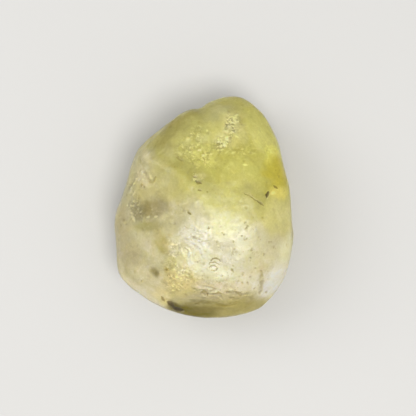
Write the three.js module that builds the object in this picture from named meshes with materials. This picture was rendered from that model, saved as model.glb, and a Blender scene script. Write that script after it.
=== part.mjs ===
// Libyan desert glass: one nodule of natural silica glass, worn by wind-blown sand.
//
// It is a rounded lump whose plan is a blunt teardrop. Its crown has gently flattened faces with soft
// edges between them, and sand has worn shallow hollows, low ridges and pits into it. It lies on its
// underside, which is flatter and ends in one small worn flat.
//
// Units are millimetres and +Z is up. +Y runs along the nodule, towards its narrow end. The origin lies
// on the worn flat, under the middle of the plan.

import * as THREE from "three";
import { mergeVertices } from "three/addons/utils/BufferGeometryUtils.js";

// ---------------------------------------------------------------- driving dimensions
const CROWN_HEIGHT = 9.9; // from the widest section up to the uncut top
const BASE_DEPTH = 7.6; // from the widest section down to the uncut bottom
const REST_HEIGHT = 7.2; // from the worn flat up to the widest section
const CROWN_SQUARENESS = 2.25; // 2 makes an ellipse in side view, and more makes fuller shoulders
const BASE_SQUARENESS = 2.3;
const FACE_SHARPNESS = 8; // how tightly two faces meet: more makes a harder edge
const SPHERE_DETAIL = 20; // the lump starts as a geodesic sphere of 20 * (detail + 1)^2 triangles
const EVENING = 0.2; // how far its points are moved towards the poles, where the lump is broad

// The plan's outline as [x, y], anticlockwise from the widest point on the right.
const OUTLINE = [
  [12.9, -4.2], [12.6, -1.8], [12.3, 2.7], [11.4, 5.9], [10.6, 9.3], [8.4, 13.5], [5.7, 15.7],
  [3.9, 16.0], [0.7, 15.1], [-0.4, 14.5], [-1.7, 14.2], [-3.1, 13.6], [-4.8, 12.3], [-8.6, 9.3],
  [-9.9, 7.5], [-11.7, 1.8], [-12.6, -0.4], [-12.9, -2.3], [-12.7, -4.9], [-12.4, -9.0],
  [-11.4, -10.7], [-6.8, -14.0], [-2.4, -15.6], [3.1, -15.9], [7.1, -15.0], [8.5, -14.2],
  [11.5, -10.3],
];
const ROUNDED_PLAN = { halfWidth: 12.6, halfLength: 15.6 }; // the outline's bumps fade into this ellipse
const BUMP_FADE = 5; // power of the distance from the middle at which those bumps fade in

// Flattened faces: where the face's middle is in plan, the compass angle that it leans to (0 is +X, 90 is
// +Y), how far it leans from level, in degrees, and how deep it cuts below the full round shape.
const CROWN_FACES = [
  { name: "broad face", at: [2.7, -5.5], leansTo: -80, lean: 8, cut: 0.8 },
  { name: "upper face", at: [3.1, 6.0], leansTo: 78, lean: 17, cut: 0.7 },
  { name: "narrow end", at: [4.6, 13.4], leansTo: 76, lean: 46, cut: 0.7 },
  { name: "upper left shoulder", at: [-4.5, 9.4], leansTo: 128, lean: 43, cut: 0.8 },
  { name: "left flank", at: [-8.6, 3.8], leansTo: 168, lean: 46, cut: 0.7 },
  { name: "lower left flank", at: [-9.2, -6.2], leansTo: 190, lean: 42, cut: 0.8 },
  { name: "lower left edge", at: [-8.0, -11.6], leansTo: 234, lean: 56, cut: 0.6 },
  { name: "foot face", at: [2.2, -13.6], leansTo: -93, lean: 51, cut: 0.8 },
  { name: "lower right corner", at: [10.1, -10.4], leansTo: -42, lean: 57, cut: 0.7 },
  { name: "right flank", at: [10.6, 0.4], leansTo: 4, lean: 54, cut: 0.5 },
  { name: "upper right shoulder", at: [8.3, 9.2], leansTo: 38, lean: 50, cut: 0.6 },
];
const BASE_FACES = [
  { name: "under narrow end", at: [2.5, 11.0], leansTo: 80, lean: 27, cut: 0.5 },
  { name: "under left", at: [-8.0, 3.0], leansTo: 165, lean: 33, cut: 0.6 },
  { name: "under lower left", at: [-7.5, -9.0], leansTo: 225, lean: 33, cut: 0.6 },
  { name: "under right", at: [8.5, -1.0], leansTo: -5, lean: 30, cut: 0.5 },
  { name: "under foot", at: [3.5, -12.0], leansTo: -75, lean: 31, cut: 0.5 },
];

// Scooped hollows: the middle and half-axes in plan, the turn of the first half-axis, and the depth.
const CROWN_HOLLOWS = [
  { name: "left scoop", at: [-7.4, 0.4], across: [4.0, 3.2], turn: 20, depth: 0.55 },
  { name: "lower left scoop", at: [-9.0, -6.4], across: [2.6, 4.2], turn: -8, depth: 0.4 },
  { name: "notch", at: [-0.6, 13.2], across: [1.5, 3.0], turn: 22, depth: 0.5 },
  { name: "upper dish", at: [0.4, 8.6], across: [4.2, 2.8], turn: 30, depth: 0.35 },
  { name: "right dish", at: [7.6, 5.2], across: [3.0, 2.4], turn: -35, depth: 0.3 },
  { name: "right waist", at: [11.0, 0.6], across: [1.7, 3.0], turn: 0, depth: 0.35 },
  { name: "broad dish", at: [1.8, -8.0], across: [4.6, 3.0], turn: 10, depth: 0.28 },
  { name: "middle dish", at: [3.6, 0.6], across: [3.6, 2.2], turn: -12, depth: 0.22 },
  { name: "foot scoop", at: [-0.8, -14.0], across: [3.4, 1.3], turn: -4, depth: 0.35 },
];
const BASE_HOLLOWS = [
  { name: "under left scoop", at: [-6.0, 4.5], across: [3.6, 4.4], turn: -20, depth: 0.5 },
  { name: "under right scoop", at: [6.5, 4.0], across: [3.2, 4.6], turn: 15, depth: 0.45 },
  { name: "under foot scoop", at: [-2.0, -10.5], across: [4.4, 2.6], turn: -10, depth: 0.45 },
  { name: "under corner scoop", at: [8.0, -7.5], across: [2.6, 3.0], turn: 30, depth: 0.4 },
];

// Low ridges: their two ends in plan, their half-width and height.
const CROWN_RIDGES = [
  { name: "foot ridge", from: [-4.6, -12.6], to: [7.6, -12.2], halfWidth: 1.1, height: 0.26 },
  { name: "corner ridge", from: [8.2, -7.6], to: [8.5, -12.6], halfWidth: 0.9, height: 0.28 },
  { name: "left ridge", from: [-10.2, -2.8], to: [-4.4, -6.2], halfWidth: 1.2, height: 0.28 },
  { name: "shoulder ridge", from: [-7.8, 6.8], to: [-1.4, 3.6], halfWidth: 1.4, height: 0.26 },
  { name: "end ridge", from: [6.2, 12.6], to: [8.4, 5.6], halfWidth: 1.2, height: 0.2 },
];
const BASE_RIDGES = [
  { name: "under ridge", from: [-1.5, 9.0], to: [2.0, 13.0], halfWidth: 1.3, height: 0.25 },
];

// Pits that sand has drilled: the middle in plan, the radius and the depth.
const CROWN_PITS = [
  { name: "side pit", at: [9.0, 2.2], radius: 0.9, depth: 0.42 },
  { name: "upper pit", at: [-0.9, 3.9], radius: 0.8, depth: 0.24 },
  { name: "lower left pit", at: [-7.1, -9.3], radius: 1.2, depth: 0.34 },
  { name: "foot pit", at: [-4.3, -13.6], radius: 1.0, depth: 0.4 },
  { name: "foot pit 2", at: [-3.2, -14.2], radius: 0.9, depth: 0.3 },
  { name: "scoop pit", at: [-10.2, -1.2], radius: 0.9, depth: 0.26 },
];

// Fields of small pits, scattered over an ellipse in plan.
const CROWN_PIT_FIELDS = [
  { name: "end", at: [3.9, 10.6], across: [3.2, 1.9], turn: 55, count: 16, radius: 0.8, depth: 0.16 },
  { name: "shoulder", at: [-1.2, 7.6], across: [3.0, 2.0], turn: 15, count: 14, radius: 0.8, depth: 0.13 },
  { name: "scoop", at: [-9.4, -0.4], across: [1.8, 2.4], turn: 10, count: 9, radius: 0.75, depth: 0.14 },
  { name: "lower", at: [-3.6, -9.6], across: [2.6, 3.2], turn: 0, count: 12, radius: 0.8, depth: 0.14 },
];
const PIT_SIZES = [0.75, 1.25]; // the least and greatest share of the field's radius and depth
const PIT_SEED = 29;

// Shallow scoops in the sides: the compass angle that each looks to, the height of its middle above the
// widest section (less than 0 is below it), its half-axes along the side and up it, and the depth.
const SIDE_SCOOPS = [
  { name: "foot side", faces: -97, height: 3.4, across: [5.5, 2.4], depth: 0.55 },
  { name: "corner side", faces: -48, height: -2.6, across: [4.2, 2.4], depth: 0.5 },
  { name: "right side", faces: -12, height: 3.8, across: [4.0, 2.6], depth: 0.45 },
  { name: "right shoulder side", faces: 34, height: -2.2, across: [5.0, 2.2], depth: 0.5 },
  { name: "end side", faces: 74, height: 2.9, across: [3.6, 2.0], depth: 0.45 },
  { name: "notch side", faces: 98, height: -2.4, across: [3.2, 2.2], depth: 0.5 },
  { name: "shoulder side", faces: 129, height: 3.2, across: [4.2, 2.2], depth: 0.4 },
  { name: "left side", faces: 166, height: -2.8, across: [4.6, 2.4], depth: 0.55 },
  { name: "lower left side", faces: 208, height: 2.6, across: [4.0, 2.2], depth: 0.45 },
  { name: "lower edge side", faces: 241, height: -2.4, across: [4.4, 2.2], depth: 0.5 },
];
const SCOOP_FADE = 60; // power of the distance from the middle at which side scoops die out at the outline

// Long low swells over the whole surface: the direction that each runs in, its length, height and phase.
const SWELLS = [
  { runs: [1.0, 0.35, 0.3], length: 7.4, height: 0.1, phase: 0 },
  { runs: [-0.4, 1.0, 0.5], length: 6.1, height: 0.09, phase: 1.7 },
  { runs: [0.7, -0.8, 0.6], length: 4.3, height: 0.06, phase: 3.4 },
  { runs: [0.2, 0.5, 1.0], length: 3.3, height: 0.04, phase: 5.1 },
];
const RIM_FADE = 8; // power of the distance from the middle at which worn detail dies out at the outline
// The widest section isn't level: its rise and fall, the two plan lengths of its wave over 2 pi, and
// the two phases, in radians.
const RIM_WAVE = { height: 1.2, acrossX: 9.5, acrossY: 8.0, phaseX: 0.8, phaseY: -0.4 };

// ---------------------------------------------------------------- the plan
const radians = THREE.MathUtils.degToRad;

const outline = new THREE.CatmullRomCurve3(
  OUTLINE.map(([x, y]) => new THREE.Vector3(x, y, 0)),
  true,
  "centripetal",
);
const OUTLINE_STEPS = 720;
const SHARE_STEPS = 12;
const outlineByAngle = outline
  .getPoints(OUTLINE_STEPS)
  .slice(0, OUTLINE_STEPS)
  .map((point) => ({ angle: Math.atan2(point.y, point.x), radius: point.length() }))
  .sort((a, b) => a.angle - b.angle);

// The outline's distance from the middle, in the direction of an angle from -PI to PI.
function outlineRadius(angle) {
  const next = outlineByAngle.findIndex((sample) => sample.angle > angle);
  const after = outlineByAngle.at(next < 0 ? 0 : next);
  const before = outlineByAngle.at(next < 0 ? -1 : next - 1);
  const turn = 2 * Math.PI;
  const gap = (after.angle - before.angle + turn) % turn;
  const share = ((angle - before.angle + turn) % turn) / gap;
  return THREE.MathUtils.lerp(before.radius, after.radius, share);
}

// The distance from the middle to a share of the way out: an ellipse near the middle, the outline at 1.
function planRadius(angle, share) {
  const { halfWidth, halfLength } = ROUNDED_PLAN;
  const rounded = 1 / Math.hypot(Math.cos(angle) / halfWidth, Math.sin(angle) / halfLength);
  return share * THREE.MathUtils.lerp(rounded, outlineRadius(angle), share ** BUMP_FADE);
}

// The share of the way out at which a plan point lies, found by stepping towards it.
function shareAt(x, y) {
  const angle = Math.atan2(y, x);
  const wanted = Math.hypot(x, y);
  let share = wanted / outlineRadius(angle);
  for (let step = 0; step < SHARE_STEPS; step += 1) share *= wanted / planRadius(angle, share);
  return Math.min(share, 1);
}

// ---------------------------------------------------------------- one side's shape
const dome = (share, height, squareness) => height * (1 - share ** squareness) ** (1 / squareness);

// 1 at the middle of a worn feature, falling smoothly to 0 at its edge.
const falloff = (distance) => (distance < 1 ? (1 - distance * distance) ** 2 : 0);

// A plan point's distance from a feature's middle, where 1 is the feature's edge.
function ellipseDistance([x, y], { at, across, turn }) {
  const point = new THREE.Vector2(x - at[0], y - at[1]).rotateAround(new THREE.Vector2(), -radians(turn));
  return Math.hypot(point.x / across[0], point.y / across[1]);
}

function ridgeDistance([x, y], { from, to, halfWidth }) {
  const line = new THREE.Line3(new THREE.Vector3(...from, 0), new THREE.Vector3(...to, 0));
  const point = new THREE.Vector3(x, y, 0);
  return point.distanceTo(line.closestPointToPoint(point, true, new THREE.Vector3())) / halfWidth;
}

// The small pits of a field, at seeded random places in its ellipse.
function scatterPits({ at, across, turn, count, radius, depth }, seed) {
  const random = (n) => THREE.MathUtils.seededRandom(seed + n);
  return Array.from({ length: count }, (_, n) => {
    const angle = 2 * Math.PI * random(7 * n + 1);
    const reach = Math.sqrt(random(7 * n + 2));
    const place = new THREE.Vector2(Math.cos(angle), Math.sin(angle)).multiplyScalar(reach);
    place.multiply(new THREE.Vector2(...across)).rotateAround(new THREE.Vector2(), radians(turn));
    const size = THREE.MathUtils.lerp(...PIT_SIZES, random(7 * n + 3));
    return { at: [at[0] + place.x, at[1] + place.y], radius: radius * size, depth: depth * size };
  });
}

// The height of one side above the widest section, as a function of the plan point and its share.
function makeSide({ height, squareness, faces, hollows, ridges, pits }) {
  const planes = faces.map(({ at, leansTo, lean, cut }) => {
    const angle = radians(leansTo);
    return {
      middle: dome(shareAt(...at), height, squareness) - cut,
      at,
      slope: [Math.tan(radians(lean)) * Math.cos(angle), Math.tan(radians(lean)) * Math.sin(angle)],
    };
  });
  const planeHeight = ({ middle, at, slope }, x, y) =>
    middle - slope[0] * (x - at[0]) - slope[1] * (y - at[1]);

  return (x, y, share) => {
    const round = dome(share, height, squareness);
    if (round < 1e-6) return 0;
    const cuts = planes.reduce(
      (sum, plane) => sum + Math.exp(-FACE_SHARPNESS * (planeHeight(plane, x, y) / round - 1)),
      0,
    );
    const faced = round * (1 - Math.log(1 + cuts) / FACE_SHARPNESS);
    let worn = 0;
    for (const hollow of hollows) worn -= hollow.depth * falloff(ellipseDistance([x, y], hollow));
    for (const ridge of ridges) worn += ridge.height * falloff(ridgeDistance([x, y], ridge));
    for (const { at, radius, depth } of pits) {
      worn -= depth * falloff(Math.hypot(x - at[0], y - at[1]) / radius);
    }
    return faced + worn * (1 - share ** RIM_FADE);
  };
}

const crown = makeSide({
  height: CROWN_HEIGHT,
  squareness: CROWN_SQUARENESS,
  faces: CROWN_FACES,
  hollows: CROWN_HOLLOWS,
  ridges: CROWN_RIDGES,
  pits: [
    ...CROWN_PITS,
    ...CROWN_PIT_FIELDS.flatMap((field, n) => scatterPits(field, PIT_SEED + 1000 * n)),
  ],
});
const base = makeSide({
  height: BASE_DEPTH,
  squareness: BASE_SQUARENESS,
  faces: BASE_FACES,
  hollows: BASE_HOLLOWS,
  ridges: BASE_RIDGES,
  pits: [],
});

// The long swells at a point. They die out at the outline, and under the nodule where it is worn flat.
function swell(point, share) {
  const shown = point.z > 0 ? 1 - share ** RIM_FADE : share ** 2 * (1 - share ** RIM_FADE);
  return SWELLS.reduce((sum, { runs, length, height, phase }) => {
    const along = point.dot(new THREE.Vector3(...runs).normalize());
    return sum + shown * height * Math.sin((2 * Math.PI * along) / length + phase);
  }, 0);
}

// How far the side scoops push the surface inwards, at a compass angle and a height.
function sideScoop(angle, radius, height) {
  return SIDE_SCOOPS.reduce((sum, { faces, height: middle, across, depth }) => {
    const turn = THREE.MathUtils.euclideanModulo(angle - radians(faces) + Math.PI, 2 * Math.PI) - Math.PI;
    const along = (turn * radius) / across[0];
    return sum + depth * falloff(Math.hypot(along, (height - middle) / across[1]));
  }, 0);
}

// How far the widest section rises at a plan point.
function rimWave(x, y) {
  const { height, acrossX, acrossY, phaseX, phaseY } = RIM_WAVE;
  return height * Math.sin(x / acrossX + phaseX) * Math.cos(y / acrossY + phaseY);
}

// ---------------------------------------------------------------- the lump
// Moves a direction towards the poles, so that triangles are as large on the broad sides as at the rim.
const evenOut = (direction) =>
  direction.setZ(direction.z * (1 + EVENING * (1 - direction.z ** 2))).normalize();

// The nodule's surface in a direction from the middle of its widest section.
function surfacePoint(direction) {
  const flat = Math.hypot(direction.x, direction.y);
  const angle = Math.atan2(direction.y, direction.x);
  const upper = direction.z > 0;
  const squareness = upper ? CROWN_SQUARENESS : BASE_SQUARENESS;
  const length = (flat ** squareness + Math.abs(direction.z) ** squareness) ** (1 / squareness);
  const share = Math.min(flat / length, 1);
  const radius = planRadius(angle, share);
  const x = radius * Math.cos(angle);
  const y = radius * Math.sin(angle);
  const point = new THREE.Vector3(x, y, upper ? crown(x, y, share) : -base(x, y, share));
  point.z += swell(point, share);
  const inwards = sideScoop(angle, radius, point.z) * (1 - share ** SCOOP_FADE);
  point.x -= inwards * Math.cos(angle);
  point.y -= inwards * Math.sin(angle);
  point.z += rimWave(x, y) * share ** 2;
  return point;
}

// The whole lump. What would reach below the worn flat is worn away.
function makeLump() {
  const sphere = new THREE.IcosahedronGeometry(1, SPHERE_DETAIL);
  sphere.deleteAttribute("normal");
  sphere.deleteAttribute("uv");
  const lump = mergeVertices(sphere, 1e-5);
  const places = lump.getAttribute("position");
  for (let n = 0; n < places.count; n += 1) {
    const point = surfacePoint(evenOut(new THREE.Vector3().fromBufferAttribute(places, n)));
    places.setXYZ(n, point.x, point.y, Math.max(point.z + REST_HEIGHT, 0));
  }
  lump.computeVertexNormals();

  // The plan's own box is centred on the origin.
  lump.computeBoundingBox();
  const middle = lump.boundingBox.getCenter(new THREE.Vector3());
  return lump.translate(-middle.x, -middle.y, 0);
}

// ---------------------------------------------------------------- the part
const glass = new THREE.MeshStandardMaterial({
  color: 0xcfc98a,
  roughness: 0.35,
  metalness: 0,
  transparent: true,
  opacity: 0.8,
});

const desertGlass = new THREE.Mesh(makeLump(), glass);
desertGlass.name = "desert_glass";

const part = new THREE.Group();
part.add(desertGlass);

export default part;
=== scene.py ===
"""The looks of a nodule of Libyan desert glass: its fine surface, its glass, a pale floor, soft light."""

import math

import bmesh
import bpy
import numpy as np
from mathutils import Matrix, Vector, noise


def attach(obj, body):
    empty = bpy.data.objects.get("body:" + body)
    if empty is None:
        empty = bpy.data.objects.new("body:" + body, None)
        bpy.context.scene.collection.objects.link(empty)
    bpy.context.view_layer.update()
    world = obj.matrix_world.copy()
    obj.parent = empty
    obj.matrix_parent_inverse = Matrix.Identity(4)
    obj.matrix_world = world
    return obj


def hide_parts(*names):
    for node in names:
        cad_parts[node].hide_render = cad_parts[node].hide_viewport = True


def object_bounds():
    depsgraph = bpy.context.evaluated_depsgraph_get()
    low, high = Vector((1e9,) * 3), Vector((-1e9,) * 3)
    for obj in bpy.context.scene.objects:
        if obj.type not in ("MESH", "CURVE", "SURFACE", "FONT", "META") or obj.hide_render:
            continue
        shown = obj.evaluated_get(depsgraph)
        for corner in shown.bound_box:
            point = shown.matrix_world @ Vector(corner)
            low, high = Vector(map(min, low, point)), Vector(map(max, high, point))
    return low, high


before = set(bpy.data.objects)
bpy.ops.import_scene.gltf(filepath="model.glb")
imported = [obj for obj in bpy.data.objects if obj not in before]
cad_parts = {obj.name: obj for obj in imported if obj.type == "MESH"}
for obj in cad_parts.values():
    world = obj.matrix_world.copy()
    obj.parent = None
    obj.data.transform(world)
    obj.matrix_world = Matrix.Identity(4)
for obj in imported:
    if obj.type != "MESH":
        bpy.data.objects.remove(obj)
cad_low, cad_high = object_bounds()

MM = 0.001  # Blender's lengths are in metres, and the tables below are in millimetres
NODE = "desert_glass"

# ---------------------------------------------------------------- the camera's place
# The camera looks straight down on the crown. Places in the tables below are (x, y) as it sees them at the
# height of the widest section, so a place is on the surface where the line of sight meets it.
WIDEST = 7.2 * MM  # the widest section's height above the floor
VIEW_WIDTH = 59.8 * MM  # what the frame spans at that height
VIEW_MIDDLE = (0.57 * MM, -0.1 * MM)  # what the middle of the frame looks at
LENS, SENSOR = 100.0, 36.0
CAMERA_HEIGHT = WIDEST + VIEW_WIDTH * LENS / SENSOR

# ---------------------------------------------------------------- the glass's tones
# Linear colours, set by comparing renders with the photo. Plain glass shows only where no tint covers it.
PLAIN_GLASS = (0.62, 0.56, 0.24)

YELLOW = (0.62, 0.59, 0.13)
LEMON = (0.67, 0.65, 0.16)
SOFT_LEMON = (0.68, 0.66, 0.21)
STRAW = (0.81, 0.77, 0.32)
PALE_YELLOW = (0.88, 0.86, 0.26)
GOLD = (0.98, 0.95, 0.18)
DEEP_GOLD = (0.94, 0.84, 0.18)
AMBER = (0.65, 0.56, 0.03)

PALE_OLIVE = (0.56, 0.52, 0.17)
GREY_OLIVE = (0.52, 0.5, 0.22)
OLIVE = (0.52, 0.49, 0.13)
DEEP_OLIVE = (0.48, 0.41, 0.11)
DARK_OLIVE = (0.38, 0.34, 0.08)
SMOKE = (0.36, 0.3, 0.1)
DARK_SMOKE = (0.26, 0.23, 0.11)
BROWN_SMOKE = (0.28, 0.22, 0.04)
# the foot tip's tone: partly brown glass, partly painted shade
UMBER = (0.18, 0.145, 0.0)
DARK_UMBER = (0.12, 0.095, 0.0)

BEIGE = (0.63, 0.59, 0.34)
GREY_BEIGE = (0.57, 0.54, 0.33)
# the left rim's and left facet's tone: partly pinkish-grey glass, partly painted shade
ROSY_BEIGE = (0.53, 0.47, 0.28)
ROSY_SAND = (0.64, 0.56, 0.33)
SAND = (0.77, 0.7, 0.45)
CREAM = (0.81, 0.77, 0.54)
PALE_CREAM = (0.98, 0.95, 0.63)
IVORY = (0.91, 0.83, 0.63)
PEARL = (0.94, 0.89, 0.74)
HONEY = (0.67, 0.62, 0.26)
OCHRE = (0.82, 0.71, 0.32)
PALE_OCHRE = (0.95, 0.82, 0.42)
BROWN_OCHRE = (0.63, 0.51, 0.14)

# the milky veil's pale tones: partly milky glass, partly painted highlight
VEIL = (0.84, 0.83, 0.6)
YELLOW_VEIL = (0.79, 0.79, 0.45)
GREY_VEIL = (0.67, 0.65, 0.53)
MILK = (0.87, 0.86, 0.74)
# the tone of the painted highlight on the lower-right corner
HIGHLIGHT_WHITE = (0.98, 0.95, 0.86)

# Each cloud or tint in the glass, or patch of painted light or shade: its middle, half-axes, turn in degrees,
# tone, strength, and how ragged its edge is. A later one covers an earlier one.
TINTS = [
    # the broad tints under the others
    ("yellow_half", (5.0, 5.6), (10.5, 8.6), -12, YELLOW, 1.0, 0.1),
    ("beige_half", (-9.0, -6.4), (5.0, 6.6), -6, BEIGE, 1.0, 0.1),
    # the upper end and its left shoulder
    ("top_lobe", (2.6, 14.2), (6.4, 2.8), 8, OLIVE, 0.95, 0.15),
    ("lobe_pale", (2.0, 13.4), (2.4, 1.3), 10, GREY_OLIVE, 0.75, 0.3),
    ("top_lobe_right", (8.0, 11.8), (3.4, 2.0), -55, LEMON, 0.85, 0.2),
    ("left_shoulder", (-4.4, 11.3), (5.6, 2.3), 38, DARK_OLIVE, 0.95, 0.2),
    ("upper_cloud", (-0.8, 9.7), (3.8, 3.0), 30, SOFT_LEMON, 0.85, 0.4),
    ("upper_cloud_foot", (0.2, 7.4), (2.2, 1.6), 0, PALE_YELLOW, 0.8, 0.4),
    ("end_cloud", (3.9, 11.2), (2.0, 2.9), -25, STRAW, 0.8, 0.4),
    ("bright_shoulder", (8.6, 9.5), (3.0, 1.4), -48, PALE_YELLOW, 0.85, 0.3),
    # the yellow right side
    ("olive_band", (5.4, 7.5), (4.8, 1.1), -6, YELLOW, 0.75, 0.35),
    ("yellow_core", (6.0, 5.2), (3.6, 1.7), -4, LEMON, 0.9, 0.3),
    ("yellow_core_left", (3.4, 3.4), (1.9, 2.2), 10, YELLOW, 0.9, 0.35),
    ("middle_glow", (3.0, 0.6), (4.2, 1.9), -6, SOFT_LEMON, 0.85, 0.35),
    ("golden_above", (10.3, 7.6), (2.0, 1.5), -50, GOLD, 0.7, 0.45),
    ("golden_side", (10.8, 4.9), (2.2, 3.0), 14, AMBER, 0.85, 0.5),
    ("pit_halo", (11.0, 2.1), (1.5, 1.0), -10, DEEP_GOLD, 0.85, 0.3),
    ("crack_shade", (6.9, 1.5), (1.9, 2.4), 30, OLIVE, 0.75, 0.35),
    ("right_side", (10.6, -1.6), (2.6, 2.9), 0, STRAW, 0.75, 0.3),
    # the left side; its rim and facet tints are partly the glass's own olive and greyish-pink tones, partly
    # painted shade
    # partly olive glass, partly painted shade along the upper left rim
    ("left_upper_rim_shade", (-7.6, 9.6), (2.2, 0.8), 42, PALE_OLIVE, 0.75, 0.3),
    ("left_corner", (-9.2, 6.4), (1.6, 2.6), -20, GREY_BEIGE, 0.8, 0.35),
    ("left_white", (-8.35, 7.4), (0.5, 1.3), 20, SAND, 0.7, 0.4),
    # partly greyish glass, partly painted shade along the left rim
    ("upper_left_rim_shade", (-11.1, 1.7), (1.1, 2.7), -8, GREY_BEIGE, 0.8, 0.25),
    ("left_patch", (-6.0, 5.2), (2.4, 1.7), -40, PALE_OLIVE, 0.8, 0.4),
    ("left_olive", (-6.5, 7.6), (0.7, 1.1), 0, OLIVE, 0.7, 0.45),
    ("left_streak", (-9.0, 4.6), (0.9, 1.9), 20, SAND, 0.6, 0.4),
    ("valley", (-3.0, 6.0), (4.4, 1.1), -36, OLIVE, 0.85, 0.45),
    ("valley_end", (0.2, 3.2), (1.6, 1.2), -40, OLIVE, 0.6, 0.45),
    ("hook_pale", (-0.6, 4.4), (0.9, 0.45), 10, STRAW, 0.7, 0.5),
    ("middle_left", (-3.0, -0.9), (2.6, 2.6), 0, BEIGE, 0.75, 0.4),
    ("smoky_hollow", (-7.3, 0.0), (2.3, 1.6), 5, SMOKE, 0.95, 0.4),
    ("smoky_tail", (-9.9, -0.6), (1.2, 1.6), 10, DARK_SMOKE, 0.7, 0.4),
    ("below_smoky", (-8.0, -2.6), (2.3, 0.8), 5, DARK_OLIVE, 0.7, 0.4),
    # this rim tint and the facet tint below it: partly pinkish-grey glass, partly painted shade on the left
    # side
    ("left_rim", (-12.0, -4.2), (1.5, 5.6), 0, ROSY_BEIGE, 0.9, 0.15),
    ("left_facet_shade", (-10.4, -6.8), (1.5, 2.4), 10, ROSY_BEIGE, 0.85, 0.2),
    ("left_wedge", (-6.2, -4.8), (1.0, 1.9), 28, DEEP_OLIVE, 0.8, 0.35),
    ("left_ridge", (-8.0, -5.6), (3.0, 0.85), -50, SAND, 0.5, 0.7),
    ("lower_left", (-8.0, -10.6), (3.2, 2.0), -40, SAND, 0.75, 0.3),
    ("smudge", (-7.15, -9.5), (0.8, 0.5), -58, BROWN_SMOKE, 0.75, 0.6),
    ("smudge_core", (-6.85, -9.7), (0.34, 0.38), 0, BROWN_SMOKE, 0.5, 0.5),
    # the milky veil in the middle; its pale tones are partly milky glass, partly painted highlight
    ("veil", (2.4, -6.4), (5.6, 5.6), 20, VEIL, 1.0, 0.25),
    ("veil_milk", (-1.0, -4.4), (2.3, 2.6), 0, MILK, 0.9, 0.4),
    ("veil_heart", (2.8, -2.4), (2.2, 2.1), -40, YELLOW_VEIL, 0.95, 0.3),
    ("veil_edge", (-1.8, -8.0), (1.3, 2.6), 22, PALE_CREAM, 0.85, 0.35),
    ("veil_grey_right", (4.2, -8.0), (2.4, 1.2), -20, GREY_VEIL, 0.6, 0.5),
    ("veil_shade", (2.6, -5.6), (2.3, 1.3), -25, GREY_BEIGE, 0.85, 0.45),
    ("veil_right", (7.8, -4.0), (1.2, 2.2), 0, CREAM, 0.6, 0.4),
    ("veil_foot", (6.7, -10.6), (2.0, 1.8), 0, PEARL, 0.7, 0.4),
    ("right_lower", (9.8, -6.6), (1.9, 2.4), 0, CREAM, 0.8, 0.25),
    ("crease_shade", (8.4, -10.2), (0.6, 2.6), 4, ROSY_SAND, 0.6, 0.3),
    # painted light along the thin right rim
    ("right_rim_light", (12.0, -6.2), (1.0, 2.8), -12, PALE_CREAM, 0.85, 0.25),
    # painted highlight: the lower-right corner facet lit almost white
    ("corner_highlight", (10.0, -10.8), (3.2, 1.8), 52, HIGHLIGHT_WHITE, 0.95, 0.2),
    # the ochre fluff and the foot
    ("fluff", (-3.2, -10.8), (2.6, 2.2), 0, OCHRE, 0.9, 0.4),
    ("fluff_top", (-4.2, -8.0), (1.4, 1.2), 0, HONEY, 0.75, 0.5),
    ("fluff_brown", (-5.4, -9.1), (0.4, 0.45), 0, BROWN_OCHRE, 0.7, 0.4),
    ("fluff_marks", (-2.3, -9.8), (0.9, 0.3), -25, OLIVE, 0.65, 0.6),
    ("foot_rise", (3.6, -11.7), (4.8, 1.0), -2, IVORY, 0.7, 0.4),
    # this slope and the band and tip below it: partly olive and brown glass, partly painted shade where the
    # foot turns down, away from the light
    ("shaded_foot_slope", (2.4, -13.1), (5.4, 0.8), -2, ROSY_SAND, 0.85, 0.35),
    ("shaded_foot_band", (3.6, -14.9), (6.6, 1.7), 6, DEEP_OLIVE, 0.95, 0.2),
    ("shaded_foot_tip", (-1.9, -15.1), (3.6, 1.4), -4, UMBER, 1.0, 0.5),
    ("foot_wisp", (-1.7, -13.9), (1.6, 0.4), 3, SMOKE, 0.65, 0.7),
    ("foot_wisp_low", (0.6, -14.7), (2.4, 0.5), 4, BROWN_SMOKE, 0.65, 0.7),
    ("inclusion_shade", (-4.3, -14.2), (1.5, 0.6), -28, DARK_UMBER, 0.95, 0.5),
    ("cream_foot", (-6.2, -13.2), (1.7, 1.2), -38, PALE_OCHRE, 0.8, 0.35),
    # painted light along the thin lower-left rim, and, in the next tint, along the thin left rim
    ("lower_left_rim_light", (-8.8, -12.4), (4.6, 0.6), -38, IVORY, 0.85, 0.15),
    ("left_rim_light", (-12.0, -8.65), (0.45, 1.4), 20, SAND, 0.7, 0.2),
]

# Clouds on the underside and the sides below the widest section, where the tints above fade: the tone, the
# size of the cloud, its seed and how much of the glass it covers.
UNDER_CLOUDS = [
    ("under_yellow", (0.7, 0.62, 0.19), 7.0, 21, 0.1),
    ("under_pale", (0.82, 0.76, 0.48), 5.0, 22, 0.25),
    ("under_olive", (0.45, 0.39, 0.13), 4.0, 23, 0.3),
]

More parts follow.
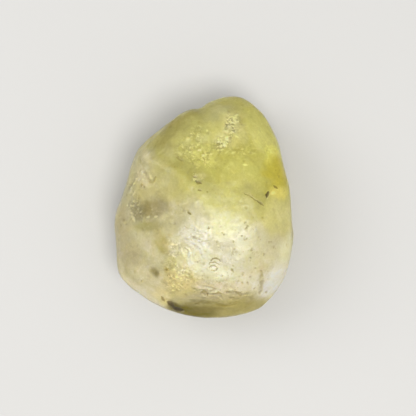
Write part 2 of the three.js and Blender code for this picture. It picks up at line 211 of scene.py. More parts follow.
# Lines cut in the surface: the places, the half-width, the depth and how dark it is.
LINES = [
    ("side_pit", [(9.05, 1.5), (9.1, 1.85), (9.35, 2.2)], 0.25, 0.14, 1.0),
    ("side_dash", [(10.1, 3.1), (10.35, 2.9), (10.6, 2.75)], 0.17, 0.07, 0.7),
    ("crack_top", [(5.9, 2.0), (6.5, 1.75), (7.1, 1.35)], 0.13, 0.05, 0.26),
    ("crack_middle", [(6.9, 1.45), (7.5, 1.05), (7.95, 0.8)], 0.11, 0.05, 0.3),
    ("crack_foot", [(7.75, 0.95), (8.15, 0.6), (8.6, 0.2)], 0.16, 0.07, 0.5),
    ("hook", [(-1.15, 3.85), (-0.85, 3.6), (-0.4, 3.45)], 0.26, 0.1, 0.5),
    ("hook_crest", [(-1.5, 4.45), (-1.0, 4.2), (-0.4, 4.3)], 0.2, 0.06, 0.2),
    ("below_hook", [(-0.85, 2.5), (-0.4, 2.35)], 0.2, 0.06, 0.35),
    ("middle_dash", [(-2.4, -0.7), (-1.95, -1.0)], 0.2, 0.06, 0.65),
    ("arc_outer", [(0.95, -7.75), (1.3, -7.45), (1.8, -7.4), (2.2, -7.6), (2.4, -7.85)], 0.13, 0.05, 0.5),
    ("arc_middle", [(0.65, -8.2), (0.95, -7.95), (1.5, -7.9), (1.95, -8.1), (2.15, -8.4)], 0.11, 0.05, 0.4),
    ("arc_inner", [(0.75, -8.8), (1.0, -8.45), (1.45, -8.4), (1.85, -8.65)], 0.12, 0.05, 0.42),
    ("arc_core", [(1.9, -8.8), (1.75, -9.15), (1.35, -9.15)], 0.15, 0.06, 0.5),
    ("foot_line", [(0.9, -11.6), (2.3, -11.85), (3.4, -12.15), (4.4, -12.2), (5.3, -12.75)], 0.22, 0.07,
     0.25),
    ("foot_line_low", [(-1.4, -13.9), (0.2, -13.7), (1.6, -13.85), (2.9, -14.2), (4.6, -13.95)], 0.3, 0.08,
     0.25),
    ("swirl", [(-0.6, -12.5), (-0.1, -12.15), (0.5, -12.3), (0.5, -12.75)], 0.24, 0.09, 0.3),
    ("swirl_right", [(1.6, -12.5), (2.1, -12.25), (2.5, -12.5)], 0.22, 0.07, 0.3),
    # the corner crease's darkness is painted shade
    ("shaded_corner_crease", [(8.35, -9.3), (8.4, -10.4), (8.25, -11.4), (8.05, -12.4)], 0.5, 0.12, 0.3),
    ("inclusion", [(-5.2, -13.65), (-4.75, -13.95), (-4.45, -14.3)], 0.42, 0.05, 1.0),
    ("inclusion_tail", [(-4.5, -14.4), (-3.8, -14.75), (-3.1, -14.8)], 0.36, 0.05, 1.0),
    ("near_inclusion", [(-6.15, -13.0), (-5.75, -13.45)], 0.3, 0.07, 0.5),
    ("left_thread", [(-9.4, 7.2), (-9.2, 6.6), (-8.9, 5.8)], 0.26, 0.04, 0.08),
    ("left_nick", [(-8.9, 5.8), (-8.4, 4.7), (-7.75, 3.7), (-7.35, 3.75), (-7.0, 4.35)], 0.3, 0.06, 0.16),
    ("left_pit", [(-9.0, 3.4), (-9.05, 3.0)], 0.28, 0.07, 0.3),
    ("valley_line", [(-4.0, 7.3), (-3.5, 6.9), (-2.9, 6.6)], 0.2, 0.06, 0.14),
    ("cloud_nick", [(-0.2, 7.2), (0.1, 7.0), (0.0, 6.75)], 0.18, 0.06, 0.35),
    ("wave_1", [(-2.9, -2.7), (-2.3, -3.1), (-1.7, -3.0), (-1.1, -3.5)], 0.15, 0.05, 0.14),
    ("wave_2", [(-2.6, -4.2), (-2.0, -4.0), (-1.5, -4.5), (-0.8, -4.4), (-0.4, -4.9)], 0.14, 0.03, 0.1),
    ("wave_3", [(-0.8, -5.1), (-0.1, -4.9), (0.6, -4.85)], 0.15, 0.05, 0.2),
    ("wave_4", [(-2.9, -5.8), (-2.3, -6.3), (-2.5, -7.2)], 0.15, 0.05, 0.14),
]

# A small notch in the outline at the upper end: the place, the radius and the depth.
NOTCH = ((-0.6, 14.5), 1.1, 0.17)

# Small bubbles that the worn surface has cut open: the place, the radius, and how dark it is.
BUBBLES = [
    (0.65, -3.03, 0.26, 0.75), (2.6, -3.7, 0.15, 0.5), (2.85, -3.95, 0.18, 0.55),
    (4.2, -4.95, 0.18, 0.4), (5.91, -2.26, 0.17, 0.4), (6.2, -2.6, 0.13, 0.4),
    (6.12, -2.95, 0.18, 0.55), (5.45, -4.2, 0.2, 0.6), (5.85, -4.65, 0.2, 0.55),
    (6.2, -4.52, 0.2, 0.5), (6.82, -6.24, 0.25, 0.6), (6.73, -7.33, 0.26, 0.5),
    (8.69, -6.74, 0.25, 0.5), (10.12, -5.78, 0.24, 0.5), (9.45, -5.03, 0.3, 0.35),
    (9.75, -5.0, 0.25, 0.3), (4.07, -9.15, 0.3, 0.75), (4.25, -9.3, 0.2, 0.5),
    (5.61, -9.74, 0.2, 0.5), (6.62, -10.09, 0.22, 0.4), (5.51, -10.89, 0.22, 0.6),
    (6.27, -10.89, 0.22, 0.6), (5.01, -10.59, 0.16, 0.35), (4.81, -11.55, 0.18, 0.3),
    (7.18, -11.75, 0.2, 0.45), (7.44, -8.78, 0.2, 0.4), (2.59, -9.94, 0.2, 0.25),
    (1.79, -10.69, 0.18, 0.4), (2.19, -10.85, 0.2, 0.45), (9.05, -12.26, 0.28, 0.6),
    (-8.99, -10.62, 0.26, 0.6), (-5.5, -9.05, 0.26, 0.5), (-5.0, -9.9, 0.2, 0.4),
    (-3.2, -11.2, 0.2, 0.4), (-8.6, 2.9, 0.2, 0.3), (0.5, 2.3, 0.2, 0.3),
]

# Patches of crackle: the middle, the half-axes, the turn and the strength.
CRACKLES = [
    ((4.5, 12.4), (1.0, 0.9), 60, 1.15),
    ((3.8, 11.2), (1.4, 1.0), 55, 1.25),
    ((3.0, 9.7), (1.3, 0.9), 50, 1.1),
    ((2.2, 8.6), (1.4, 0.8), 20, 0.6),
    ((0.4, 7.6), (1.1, 0.9), 20, 0.7),
    ((-2.0, 8.2), (2.0, 1.5), 20, 0.5),
    ((-0.6, 6.4), (1.6, 0.7), -15, 0.55),
    ((-0.9, 10.2), (1.8, 1.3), 0, 0.45),
    ((6.0, 9.8), (1.6, 1.4), 0, 0.2),
    ((5.4, 7.9), (2.4, 0.9), -6, 0.4),
    ((9.6, 8.7), (1.0, 0.9), -30, 0.35),
    ((-9.9, -0.2), (1.1, 1.5), 0, 0.5),
    ((-7.6, -0.9), (1.6, 1.0), 0, 0.3),
    ((-3.7, -9.8), (1.9, 2.6), 0, 0.55),
    ((-4.0, -6.4), (1.2, 1.6), 20, 0.5),
    ((-2.0, -10.2), (1.6, 1.6), 0, 0.35),
    ((2.6, -12.5), (4.2, 0.9), 0, 0.4),
    ((-9.6, 3.8), (1.0, 2.2), -20, 0.3),
    ((-1.0, 4.1), (1.0, 0.6), 0, 0.6),
    ((2.0, -10.6), (2.8, 0.9), 0, 0.35),
    ((-1.6, -4.6), (2.0, 2.6), 0, 0.3),
    ((3.0, -6.6), (3.0, 2.0), 0, 0.2),
]

# Wavy ridges and troughs on the surface: the middle and half-axes of the patch, the patch's turn, the
# direction of the ridges, the distance between them and the strength.
WAVES = [
    ((2.4, -12.4), (4.8, 1.0), -3, -4, 0.72, 0.85),
    ((0.4, -14.5), (4.6, 0.9), 0, 2, 0.85, 0.22),
    ((1.8, -10.9), (3.2, 0.9), -12, -12, 0.6, 0.2),
    ((-1.5, -4.1), (1.8, 1.7), 0, -25, 0.62, 0.45),
    ((-0.6, -7.0), (1.6, 1.6), 0, -60, 0.6, 0.3),
    ((-9.7, 4.4), (1.0, 2.8), -20, 62, 0.7, 0.5),
    ((-7.2, 8.4), (1.6, 1.3), 0, 55, 0.7, 0.4),
    ((6.6, 8.1), (2.4, 0.8), -8, -8, 0.55, 0.45),
    ((-10.0, 0.6), (1.0, 1.8), 0, 78, 0.6, 0.5),
    ((9.0, 11.0), (1.2, 2.4), 30, -55, 0.5, 0.3),
    ((8.8, -5.8), (1.6, 2.0), 0, 82, 0.6, 0.25),
]

# Glints, spots of painted highlight: the place, the half-axes, the turn and the strength.
GLINTS = [
    ((5.97, 6.15), (0.42, 0.15), 0, 1.0), ((4.5, 12.4), (0.26, 0.36), 0, 0.9),
    ((3.7, 11.7), (0.42, 0.32), 60, 1.0), ((3.35, 9.95), (0.42, 0.3), 60, 1.0),
    ((0.47, 11.08), (0.2, 0.18), 0, 0.8), ((-2.3, 9.94), (0.4, 0.2), 10, 0.55),
    ((2.9, 9.02), (0.36, 0.2), 20, 0.7), ((-10.1, -1.75), (0.24, 0.42), 15, 1.0),
    ((-10.35, -1.3), (0.22, 0.26), 0, 0.8), ((-8.13, -1.42), (0.24, 0.2), 0, 0.85),
    ((-6.98, -1.36), (0.3, 0.17), 15, 0.8), ((-7.5, -0.32), (0.16, 0.16), 0, 0.5),
    ((9.95, 2.05), (0.5, 0.26), 10, 0.7), ((-4.3, -9.0), (0.42, 0.15), -5, 0.7),
    ((1.1, 7.7), (0.3, 0.16), 30, 0.6), ((4.2, 7.9), (0.4, 0.16), 15, 0.6),
    ((-0.1, 7.5), (0.3, 0.2), -20, 0.8), ((-3.5, 7.8), (0.5, 0.2), -35, 0.5),
    ((-1.5, 7.9), (0.4, 0.2), 20, 0.4), ((0.45, 6.5), (0.5, 0.2), 30, 0.4),
    ((-1.0, 6.2), (0.5, 0.24), -20, 0.4), ((4.6, 13.2), (0.26, 0.22), 0, 0.8),
    ((3.25, 10.95), (0.36, 0.26), 40, 0.9), ((4.75, 10.2), (0.42, 0.16), -20, 0.7),
    ((3.3, 8.0), (0.4, 0.17), 40, 0.45), ((6.7, 7.9), (0.8, 0.13), -10, 0.4),
    ((-3.6, -9.4), (0.35, 0.18), 0, 0.5), ((-2.95, -6.8), (0.24, 0.5), 10, 0.6),
    ((-4.5, -5.4), (0.45, 0.2), -15, 0.45), ((-7.7, 4.4), (0.22, 0.4), 25, 0.4),
]

# Small features strewn over the stone: how many, the radii and the share of the radius that it is deep.
DENTS = {"count": 420, "radius": (0.12, 0.34), "depth": 0.22, "darkness": 0.15, "seed": 3}
SCOOPS = {"count": 90, "radius": (0.7, 1.9), "depth": 0.07, "seed": 5}
SPECKS = {"count": 170, "radius": (0.1, 0.19), "depth": 0.3, "darkness": 0.3, "seed": 8}
SPECKLED = ((3.2, -7.6), (6.6, 6.4), 0)  # the middle, half-axes and turn of the part that has the specks

# Noise that bends and frays the edges of tints and marks: the size of its lumps, and one seed for each
# direction.
WARP = (2.6, (1, 2))
FRAY = (0.9, (3, 4))
FRINGE = (0.35, (10, 11))
LEAN = (4.2, (14, 15))  # how tints slant as they pass over the rim
LEAN_REACH = 2.0

PLATE_SIZE, PLATE_SEED = 0.37, 12  # the crackle's little plates
PLATE_STRETCH = (1.0, 1.3, 1.0)
# a line's lip on one side gets a painted highlight
LIP = (-0.1, 0.22)  # from a line's bright lip to the line
BUBBLE_DARKNESS = 0.5

# ---------------------------------------------------------------- the shape's wear
RELAX_ROUNDS, PULL, PUSH = 8, 0.55, -0.57  # each pull is followed by a push, so that the shape doesn't shrink
WORN_DOME = ((5.2, -3.4), (7.8, 8.6), 12)  # the middle, half-axes and turn of the smooth part of the crown
WORN_ROUNDS, QUICK_WORN_ROUNDS = 220, 60
CROWN_HEIGHT = 3.0  # above the widest section, where the smaller triangles begin
MARK_MARGIN = 0.08  # the smallest triangles reach this far past a mark

# Sand wear: the height, the size of its lumps and the seed of each noise.
WEAR = [(0.05, 2.2, 5), (0.03, 1.0, 6), (0.014, 0.5, 7)]
GRAIN_WEAR = (0.03, 0.3, 9)  # the same, on the crackle alone
PLATE_HEIGHT, GAP_DEPTH = 0.1, 0.05
GLINT_HEIGHT, WAVE_HEIGHT = 0.04, 0.06
SHRINK = 0.996  # leaves room inside the solid's box for the fine relief


def smooth(t):
    t = np.clip(t, 0.0, 1.0)
    return t * t * (3 - 2 * t)


def turned(points, middle, half_axes, turn):
    """Each point's distance from the middle of an ellipse, where 1 is the ellipse."""
    offset = points - np.array(middle) * MM
    c, s = math.cos(math.radians(turn)), math.sin(math.radians(turn))
    along = (offset[:, 0] * c + offset[:, 1] * s) / (half_axes[0] * MM)
    across = (offset[:, 1] * c - offset[:, 0] * s) / (half_axes[1] * MM)
    return np.hypot(along, across)


def from_place(points, place):
    """Each point's distance from a place."""
    return np.hypot(*(points - np.array(place) * MM).T)


def line_distance(points, places):
    """Each point's distance from a line of places, and how far along the line it is, from 0 to 1."""
    route = np.array(places) * MM
    lengths = np.hypot(*np.diff(route, axis=0).T)
    nearest = np.full(len(points), np.inf)
    along = np.zeros(len(points))
    before = 0.0
    for start, end, length in zip(route[:-1], route[1:], lengths):
        step = end - start
        share = np.clip((points - start) @ step / length**2, 0, 1)
        distance = np.hypot(*(points - start - share[:, None] * step).T)
        closer = distance < nearest
        nearest[closer] = distance[closer]
        along[closer] = (before + share[closer] * length) / lengths.sum()
        before += length
    return nearest, along


def ripple(points, size, seed):
    """Smooth noise from about -1 to 1, with lumps of that size in metres."""
    shift = Vector((seed * 7.3, seed * 3.1, seed * 5.7))
    return np.array([noise.noise(Vector(p) / size + shift) for p in points])


def plates(points, size, seed):
    """Little plates of random height from 0 to 1, and the gaps between them, from 0 to 1."""
    shift = Vector((seed * 2.9, seed * 8.3, seed * 4.7))
    heights, gaps = [], []
    for p in points:
        distances, middles = noise.voronoi(Vector(p) / size + shift)
        heights.append(0.5 + 0.5 * noise.cell(middles[0] * 91.7))
        gaps.append(distances[1] - distances[0])
    return np.array(heights), 1 - smooth(np.array(gaps) / 0.25)


# ---------------------------------------------------------------- the nodule's fine mesh
def places_of(mesh):
    return np.array([v.co for v in mesh.verts])


def split(mesh, faces, cuts):
    edges = list({edge for face in faces for edge in face.edges})
    bmesh.ops.subdivide_edges(mesh, edges=edges, cuts=cuts, use_grid_fill=True)
    bmesh.ops.triangulate(mesh, faces=[face for face in mesh.faces if len(face.verts) > 3])
    mesh.verts.ensure_lookup_table()


def seen_from_above(co):
    """Where the camera sees each point, at the height of the widest section."""
    middle = np.array(VIEW_MIDDLE)
    nearer = (CAMERA_HEIGHT - WIDEST) / (CAMERA_HEIGHT - co[:, 2:3])
    return middle + (co[:, :2] - middle) * nearer


def relax(mesh):
    """Smooths out the facets without shrinking the shape, and wears down the ridges of the worn dome."""
    co = places_of(mesh)
    mesh.verts.index_update()
    pairs = np.array([[v.index for v in edge.verts] for edge in mesh.edges])
    ends, others = pairs.ravel(), pairs[:, ::-1].ravel()
    count = np.bincount(ends, minlength=len(co))[:, None]

    def pull(share):
        total = [np.bincount(ends, co[others, axis], len(co)) for axis in range(3)]
        return share * (np.column_stack(total) / count - co)

    for step in range(RELAX_ROUNDS):
        co = co + pull(PULL)
        co = co + pull(PUSH)
    worn = smooth(1.5 - turned(seen_from_above(co), *WORN_DOME)) * smooth((co[:, 2] - WIDEST) / MM)
    for step in range(WORN_ROUNDS):
        co = co + pull(0.5) * worn[:, None]
    for vertex, place in zip(mesh.verts, co):
        vertex.co = place


def near_a_mark(places):
    """Whether each place is by a line or a bubble."""
    near = np.zeros(len(places), bool)
    for name, route, half_width, depth, darkness in LINES:
        near |= line_distance(places, route)[0] < (half_width + MARK_MARGIN) * MM
    for x, y, radius, darkness in BUBBLES:
        near |= from_place(places, (x, y)) < (radius + MARK_MARGIN) * MM
    return near


def fine_mesh(source):
    """The solid's mesh with smaller triangles: small on the crown, and smaller still by its marks."""
    mesh = bmesh.new()
    mesh.from_mesh(source.data)
    bmesh.ops.remove_doubles(mesh, verts=mesh.verts, dist=1e-7)
    split(mesh, mesh.faces, 2)
    relax(mesh)
    crown_from = WIDEST + CROWN_HEIGHT * MM
    split(mesh, [face for face in mesh.faces if face.calc_center_median().z > crown_from], 1)
    middles = np.array([face.calc_center_median() for face in mesh.faces])
    marked = near_a_mark(seen_from_above(middles)) & (middles[:, 2] > WIDEST)
    split(mesh, [face for face, wanted in zip(mesh.faces, marked) if wanted], 1)
    data = bpy.data.meshes.new("nodule")
    mesh.to_mesh(data)
    mesh.free()
    return data


def get_vectors(items, name, count):
    values = np.empty(count * 3)
    items.foreach_get(name, values)
    return values.reshape(-1, 3)


def attribute(data, name, values):
    layer = data.attributes.new(name, "FLOAT", "POINT")
    layer.data.foreach_set("value", np.ascontiguousarray(values, np.float32))


class Stone:
    """The fine mesh's points: their places, the way they face, and the noise that frays tints and marks."""

    def __init__(self, data):
        self.count = len(data.vertices)
        self.co = get_vectors(data.vertices, "co", self.count)
        self.normals = get_vectors(data.vertices, "normal", self.count)
        self.seen = seen_from_above(self.co)
        self.crown = smooth((self.normals[:, 2] + 0.1) / 0.3)
        self.steep = smooth((0.45 - self.normals[:, 2]) / 0.4)
        self.warp = self.ripples(*WARP)
        self.fray = self.ripples(*FRAY)
        self.fringe = self.ripples(*FRINGE)
        self.shaken = self.seen + 0.09 * self.fringe * MM + 0.05 * self.fray * MM

    def ripples(self, size, seeds):
        return np.column_stack([ripple(self.co, size * MM, seed) for seed in seeds])


class Marks:
    """How deep each point is cut in metres, and, from 0 to 1, how dark its mark is and how strong its painted
    highlight is.
    """

    def __init__(self, count):
        self.cut, self.dark, self.glint = np.zeros(count), np.zeros(count), np.zeros(count)

    def deepen(self, depth):
        self.cut = np.maximum(self.cut, depth)

    def darken(self, share):
        self.dark = np.maximum(self.dark, share)

    def brighten(self, share):
        self.glint = np.maximum(self.glint, share)


def add_tints(data, stone):
    """Clouds, tints and patches of painted light and shade run through the glass: they lean as they pass over
    the rim, and end below it.
    """
    z = stone.co[:, 2]
    below = smooth((WIDEST - z - 0.1 * MM) / (2.6 * MM) + 0.5 * ripple(stone.co, 3.6 * MM, 16))
    below *= smooth((WIDEST - z) / MM)
    lean = LEAN_REACH * MM * stone.steep[:, None] * stone.ripples(*LEAN)
    upper = np.flatnonzero(z > WIDEST)
    for name, middle, half_axes, turn, tone, strength, ragged in TINTS:
        bent = (stone.warp + 0.55 * stone.fray + 0.22 * stone.fringe) * ragged * min(half_axes) * MM
        moved = stone.seen + lean + bent
        nearest = upper[np.abs(stone.seen[upper] - np.array(middle) * MM).sum(axis=1).argmin()]
        drop = np.maximum(0, z[nearest] - z) / (0.95 * sum(half_axes) * MM)
        share = smooth((1.42 - np.hypot(turned(moved, middle, half_axes, turn), drop)) / 0.95)
        attribute(data, name, strength * share * (1 - below))
    for name, tone, size, seed, threshold in UNDER_CLOUDS:
        cloud = ripple(stone.co, size * MM, seed) + 0.4 * ripple(stone.co, 0.4 * size * MM, seed + 5)
        attribute(data, name, below * smooth((cloud + threshold) / 0.5))


def mark_lines(stone, marks):
    """A line is a hollow with dirt in it, or painted shade in the corner crease, which thins out towards its
    ends, and it has a painted highlight on one lip.
    """
    for name, route, half_width, depth, darkness in LINES:
        distance, along = line_distance(stone.shaken, route)
        taper = 1 - 0.55 * np.abs(2 * along - 1) ** 2.5
        width = half_width * MM * taper * (1 + 0.35 * stone.fray[:, 1])
        kept = smooth(0.5 + darkness + 1.1 * stone.fray[:, 0])
        inside = stone.crown * smooth(1.2 - distance / width) * kept
        marks.deepen(inside * depth * MM)
        marks.darken(inside * darkness * (0.85 + 0.3 * stone.fringe[:, 0]))
        # the lip beside the line gets a painted highlight
        lip = line_distance(stone.shaken + np.array(LIP) * MM, route)[0] / width
        marks.brighten(stone.crown * 0.4 * darkness * smooth(1.1 - lip) * (1 - inside))


def mark_bubbles(stone, marks):
    for x, y, radius, darkness in BUBBLES:
        inside = stone.crown * smooth(1.2 - from_place(stone.shaken, (x, y)) / (0.8 * radius * MM))
        marks.deepen(inside * 0.3 * radius * MM)
        marks.darken(BUBBLE_DARKNESS * inside * darkness)


def paint_glints(stone, marks):
    # each glint is a spot of painted highlight
    for place, half_axes, turn, strength in GLINTS:
        away = turned(stone.shaken, place, half_axes, turn)
        marks.brighten(stone.crown * strength * smooth(1.3 - away))


def cut_notch(stone, marks):
    place, radius, depth = NOTCH
    away = from_place(stone.seen, place) / (radius * MM)
    upper = smooth((stone.co[:, 2] - WIDEST + 3 * MM) / (2 * MM))
    marks.cut += smooth(1.3 - away) * upper * depth * MM


def strew(co, allowed, settings):
    """Round hollows at random places: how far each point lies in one, and the hollow's depth in metres."""
    pick = np.random.default_rng(settings["seed"])
    chance = allowed / allowed.sum()
    chosen = co[pick.choice(len(co), settings["count"], p=chance)]
    radii = pick.uniform(*settings["radius"], settings["count"]) * MM
    strength = pick.uniform(0.3, 1.0, settings["count"])
    stretch = pick.normal(0, 0.35, (settings["count"], 3))
    inside, depth = np.zeros(len(co)), np.zeros(len(co))
    for middle, radius, strong, pull in zip(chosen, radii, strength, stretch):
        close = np.flatnonzero(np.abs(co - middle).max(axis=1) < 1.4 * radius)
        offset = (co[close] - middle) / radius
        distance = np.sqrt((offset**2).sum(axis=1) + (offset @ pull) ** 2)
        share = np.clip(1 - distance**2, 0, 1) ** 1.5 * strong
        inside[close] = np.maximum(inside[close], share)
        depth[close] = np.maximum(depth[close], share * radius * settings["depth"])
    return inside, depth


def strew_marks(stone, marks):
    """Fine specks in the veil, dents everywhere, and wide scoops on the sides and the underside."""
    veil = stone.crown * smooth(1.5 - turned(stone.seen, *SPECKLED))
    everywhere = 0.25 + 0.75 * (1 - stone.crown)
    for allowed, settings in ((veil, SPECKS), (everywhere, DENTS)):
        inside, depth = strew(stone.co, allowed, settings)
        marks.deepen(depth)
        marks.darken(inside * settings["darkness"])
    sides = np.clip(1.05 - stone.crown, 0, 1) * (stone.co[:, 2] > 1 * MM)
    inside, depth = strew(stone.co, sides, SCOOPS)
    marks.cut += depth


def crackled(stone):
    """How crackled each point is."""
    crackle = np.zeros(stone.count)
    for middle, half_axes, turn, strength in CRACKLES:
        edge = turned(stone.seen + (0.5 * stone.fray + 0.3 * stone.warp) * MM, middle, half_axes, turn)
        crackle = np.maximum(crackle, stone.crown * strength * smooth((1.6 - edge) / 1.1))
    return crackle * smooth(0.75 + 1.1 * stone.fray[:, 0])


def wavy(stone):
    """How far up a wave's ridge each point is, or down its trough."""
    waves = np.zeros(stone.count)
    for middle, half_axes, turn, direction, spacing, strength in WAVES:
        edge = turned(stone.seen + 0.5 * stone.fray * MM, middle, half_axes, turn)
        patch = stone.crown * strength * smooth((1.5 - edge) / 0.9)
        c, s = math.cos(math.radians(direction)), math.sin(math.radians(direction))
        across = (stone.seen[:, 1] * c - stone.seen[:, 0] * s) / (spacing * MM)
        across = across + 0.75 * stone.warp[:, 0] + 0.35 * stone.fray[:, 1]
        waves += patch * np.cos(2 * math.pi * across) * smooth(0.6 + 1.2 * stone.fray[:, 0])
    return waves


def add_texture(data, stone, marks):
    """Crackle is little plates, with a painted highlight where they stand up and painted shade on the low
    ones and in the gaps. Waves get a painted highlight on their crests and painted shade in their troughs.
    Returns how high the crackle and the waves lie, in millimetres."""
    crackle, waves = crackled(stone), wavy(stone)
    shake = 0.16 * MM * np.column_stack([stone.fringe, stone.fringe[:, :1]])
    height, gap = plates(stone.co * np.array(PLATE_STRETCH) + shake, PLATE_SIZE * MM, PLATE_SEED)
    # painted highlight where the crackle's plates stand up
    stand = smooth((height - 1.0 + 0.65 * crackle) / 0.2) * smooth(crackle / 0.15) * (1 - 0.8 * gap)
    painted_highlight = np.maximum(marks.glint, stand * (0.4 + 0.6 * crackle))
    painted_highlight = np.maximum(painted_highlight, 0.4 * smooth((waves - 0.15) / 0.6))
    # painted shade on the low plates, in the gaps and in the wave troughs
    painted_shade = crackle * np.maximum(smooth((0.3 - height) / 0.2), 0.9 * gap)
    painted_shade = np.maximum(painted_shade, 0.75 * smooth((-waves - 0.1) / 0.6))
    attribute(data, "crackle", crackle)
    attribute(data, "painted_highlight", painted_highlight)
    attribute(data, "painted_shade", painted_shade)
    attribute(data, "dark", marks.dark)
    rise, size, seed = GRAIN_WEAR
    lumps = PLATE_HEIGHT * (height - 0.5) - GAP_DEPTH * gap + rise * ripple(stone.co, size * MM, seed)
    return crackle * lumps, WAVE_HEIGHT * waves


def wear_down(data, stone, marks, crackle_height, wave_height):
    """Moves the points along their normals, but not where the stone rests, and never past the solid's box."""
    off_floor = smooth((stone.co[:, 2] - 0.05 * MM) / (0.5 * MM))
    wear = sum(rise * ripple(stone.co, size * MM, seed) for rise, size, seed in WEAR)
    height = (wear + crackle_height + GLINT_HEIGHT * marks.glint + wave_height) * MM - marks.cut
    co = stone.co * SHRINK + stone.normals * (height * off_floor)[:, None]
    co = np.clip(co, np.array(cad_low), np.array(cad_high))
    data.vertices.foreach_set("co", co.ravel())
    data.polygons.foreach_set("use_smooth", np.ones(len(data.polygons), bool))
    data.update()


def make_nodule():
    data = fine_mesh(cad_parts[NODE])
    stone = Stone(data)
    marks = Marks(stone.count)
    add_tints(data, stone)
    mark_lines(stone, marks)
    mark_bubbles(stone, marks)
    paint_glints(stone, marks)
    cut_notch(stone, marks)
    strew_marks(stone, marks)
    wear_down(data, stone, marks, *add_texture(data, stone, marks))
    piece = bpy.data.objects.new("nodule", data)
    bpy.context.scene.collection.objects.link(piece)
    return piece


# ---------------------------------------------------------------- the glass
IOR = 1.46
TRANSMISSION = 0.6
ABSORPTION_TONE, ABSORPTION_DENSITY = (0.95, 0.92, 0.45, 1.0), 32.0
SCATTER_RADIUS, SCATTER_SCALE = (1.0, 0.85, 0.4), 1.6 * MM
ROUGHNESS = (0.28, 0.46)  # the smoothest and the roughest glass

# What mottling, grain, the painted shade and highlights on crackle and waves, painted glints, and dirt
# (painted shade in the corner crease) multiply the glass's tone by.
PALE_MOTTLE, DARK_MOTTLE = (1.14, 1.14, 1.34), (0.87, 0.86, 0.84)
PALE_GRAIN, DARK_GRAIN = (1.2, 1.21, 1.5), (0.84, 0.83, 0.8)
SHADE_TONE, HIGHLIGHT_TONE = (0.48, 0.45, 0.3), (1.6, 1.6, 1.7)
DIRT_AND_SHADE = (0.2, 0.15, 0.05)
GLINT_TONE = (1.0, 0.98, 0.62)


class Nodes:
    """Short forms for adding nodes to a material."""

    def __init__(self, tree):
        self.tree = tree

    def add(self, kind, inputs=(), **settings):
        node = self.tree.nodes.new(kind)
        for name, value in settings.items():
            setattr(node, name, value)
        for key, value in dict(inputs).items():
            if isinstance(value, bpy.types.NodeSocket):
                self.tree.links.new(value, node.inputs[key])
            else:
                node.inputs[key].default_value = value
        return node

    def attribute(self, name):
        return self.add("ShaderNodeAttribute", attribute_name=name).outputs["Fac"]

    def math(self, operation, a, b=0.0):
        return self.add("ShaderNodeMath", {0: a, 1: b}, operation=operation).outputs[0]

    def mix(self, share, a, b, blend="MIX"):
        sides = {6: a, 7: b}
        colours = {k: v if isinstance(v, bpy.types.NodeSocket) else (*v, 1.0) for k, v in sides.items()}
        inputs = {0: share, **colours}
        settings = {"data_type": "RGBA", "blend_type": blend, "clamp_result": True}
        return self.add("ShaderNodeMix", inputs, **settings).outputs[2]

    def noise(self, size, detail=3.0, roughness=0.6, warp=0.0):
        place = self.add("ShaderNodeTexCoord").outputs["Object"]
        inputs = {"Vector": place, "Scale": 1 / size, "Detail": detail, "Roughness": roughness}
        inputs["Distortion"] = warp
        return self.add("ShaderNodeTexNoise", inputs).outputs["Fac"]

    def range(self, value, low, high, to_low=0.0, to_high=1.0):
        inputs = {"Value": value, "From Min": low, "From Max": high, "To Min": to_low, "To Max": to_high}
        return self.add("ShaderNodeMapRange", inputs, interpolation_type="SMOOTHSTEP").outputs["Result"]


def glass_colour(n):
    """The clouds and tints, some of them painted light and shade, then fine mottling, grain, painted shade
    and highlights on the crackle and waves, painted glints, and dirt, which is painted shade in the corner
    crease.
    """
    colour = PLAIN_GLASS
    for name, *_, tone, strength, ragged in TINTS:
        colour = n.mix(n.attribute(name), colour, tone)
    for name, tone, *_ in UNDER_CLOUDS:
        colour = n.mix(n.attribute(name), colour, tone)
    mottle = n.noise(1.6 * MM, 5.0, 0.62, 0.7)
    colour = n.mix(n.range(mottle, 0.5, 0.72), colour, PALE_MOTTLE, "MULTIPLY")
    colour = n.mix(n.range(mottle, 0.5, 0.3), colour, DARK_MOTTLE, "MULTIPLY")
    grain = n.noise(0.32 * MM, 3.0, 0.6, 0.5)
    more = n.range(n.attribute("crackle"), 0.0, 0.6, 0.35, 1.0)
    colour = n.mix(n.math("MULTIPLY", more, n.range(grain, 0.5, 0.66)), colour, PALE_GRAIN, "MULTIPLY")
    colour = n.mix(n.math("MULTIPLY", more, n.range(grain, 0.5, 0.34)), colour, DARK_GRAIN, "MULTIPLY")
    # painted shade on the crackle's low plates and gaps and in the wave troughs
    colour = n.mix(n.math("MULTIPLY", n.attribute("painted_shade"), 0.8), colour, SHADE_TONE, "MULTIPLY")
    # painted highlights: glints, the lips of lines, standing crackle plates and wave crests
    colour = n.mix(n.attribute("painted_highlight"), colour, HIGHLIGHT_TONE, "MULTIPLY")
    colour = n.mix(n.math("MULTIPLY", n.attribute("painted_highlight"), 0.35), colour, GLINT_TONE)
    # dirt in the lines, bubbles and dents, and painted shade in the corner crease
    stain = [n.math("POWER", share, n.attribute("dark")) for share in DIRT_AND_SHADE]
    stain = n.add("ShaderNodeCombineColor", dict(enumerate(stain))).outputs[0]
    return n.mix(1.0, colour, stain, "MULTIPLY")


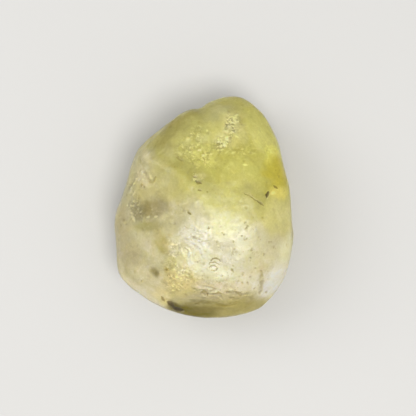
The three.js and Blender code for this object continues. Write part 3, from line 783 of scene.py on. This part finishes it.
def glass_material():
    material = bpy.data.materials.new("desert_glass")
    material.use_nodes = True
    tree = material.node_tree
    tree.nodes.clear()
    n = Nodes(tree)
    colour = glass_colour(n)
    rough = n.range(n.noise(0.8 * MM, 4.0), 0.35, 0.65, *ROUGHNESS)
    fine = n.noise(0.16 * MM, 3.0, 0.65)
    height = n.math("ADD", n.math("MULTIPLY", n.noise(0.6 * MM, 3.0), 0.7), n.math("MULTIPLY", fine, 0.35))
    bump = n.add("ShaderNodeBump", {"Strength": 0.3, "Distance": 0.05 * MM, "Height": height})
    glass = n.add(
        "ShaderNodeBsdfPrincipled",
        {
            "Base Color": colour,
            "Roughness": rough,
            "IOR": IOR,
            "Transmission Weight": TRANSMISSION,
            "Subsurface Weight": 1.0,
            "Subsurface Radius": SCATTER_RADIUS,
            "Subsurface Scale": SCATTER_SCALE,
            "Normal": bump.outputs["Normal"],
        },
    )
    absorption = {"Color": ABSORPTION_TONE, "Density": ABSORPTION_DENSITY}
    inside = n.add("ShaderNodeVolumeAbsorption", absorption)
    out = n.add("ShaderNodeOutputMaterial")
    tree.links.new(glass.outputs[0], out.inputs["Surface"])
    tree.links.new(inside.outputs[0], out.inputs["Volume"])
    return material


# ---------------------------------------------------------------- floor, light and camera
FLOOR_RADIUS, FLOOR_TONE, FLOOR_ROUGHNESS = 1.5, (0.42, 0.415, 0.405), 0.7
FLOOR_GAP = 0.05 * MM  # keeps the floor's surface apart from the stone's
SKY_STRENGTH = 0.92

# Each lamp: its name, place and diameter in metres, its watts and its colour.
LAMPS = [
    ("key", (0.075, -0.11, 0.44), 0.22, 1.55, (1.0, 0.985, 0.95)),
    ("fill", (-0.3, 0.12, 0.3), 0.3, 0.8, (0.97, 0.985, 1.0)),
]


def plain_material(name, colour, roughness):
    material = bpy.data.materials.new(name)
    material.use_nodes = True
    shader = material.node_tree.nodes["Principled BSDF"]
    shader.inputs["Base Color"].default_value = (*colour, 1.0)
    shader.inputs["Roughness"].default_value = roughness
    return material


def make_floor():
    data = bpy.data.meshes.new("floor")
    mesh = bmesh.new()
    bmesh.ops.create_circle(mesh, cap_ends=True, radius=FLOOR_RADIUS, segments=96)
    mesh.to_mesh(data)
    mesh.free()
    floor = bpy.data.objects.new("floor", data)
    floor.location.z = -FLOOR_GAP
    data.materials.append(plain_material("floor", FLOOR_TONE, FLOOR_ROUGHNESS))
    bpy.context.scene.collection.objects.link(floor)


def add_lamp(name, place, size, watts, colour):
    light = bpy.data.lights.new(name, "AREA")
    light.shape = "DISK"
    light.size = size
    light.energy = watts
    light.color = colour
    lamp = bpy.data.objects.new(name, light)
    lamp.location = place
    lamp.rotation_mode = "QUATERNION"
    lamp.rotation_quaternion = (Vector((0, 0, WIDEST)) - lamp.location).to_track_quat("-Z", "Y")
    bpy.context.scene.collection.objects.link(lamp)


def light_scene():
    scene = bpy.context.scene
    scene.view_settings.view_transform = "Standard"
    world = bpy.data.worlds.new("studio")
    world.use_nodes = True
    background = world.node_tree.nodes["Background"]
    background.inputs["Color"].default_value = (1.0, 1.0, 1.0, 1.0)
    background.inputs["Strength"].default_value = SKY_STRENGTH
    scene.world = world
    for lamp in LAMPS:
        add_lamp(*lamp)


def aim_camera():
    data = bpy.data.cameras.new("camera")
    data.lens, data.sensor_width = LENS, SENSOR
    data.clip_start, data.clip_end = 1 * MM, 10.0
    camera = bpy.data.objects.new("camera", data)
    camera.location = (*VIEW_MIDDLE, CAMERA_HEIGHT)
    bpy.context.scene.collection.objects.link(camera)
    bpy.context.scene.camera = camera


nodule = make_nodule()
nodule.data.materials.append(glass_material())
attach(nodule, "root")
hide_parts(NODE)
make_floor()
light_scene()
aim_camera()
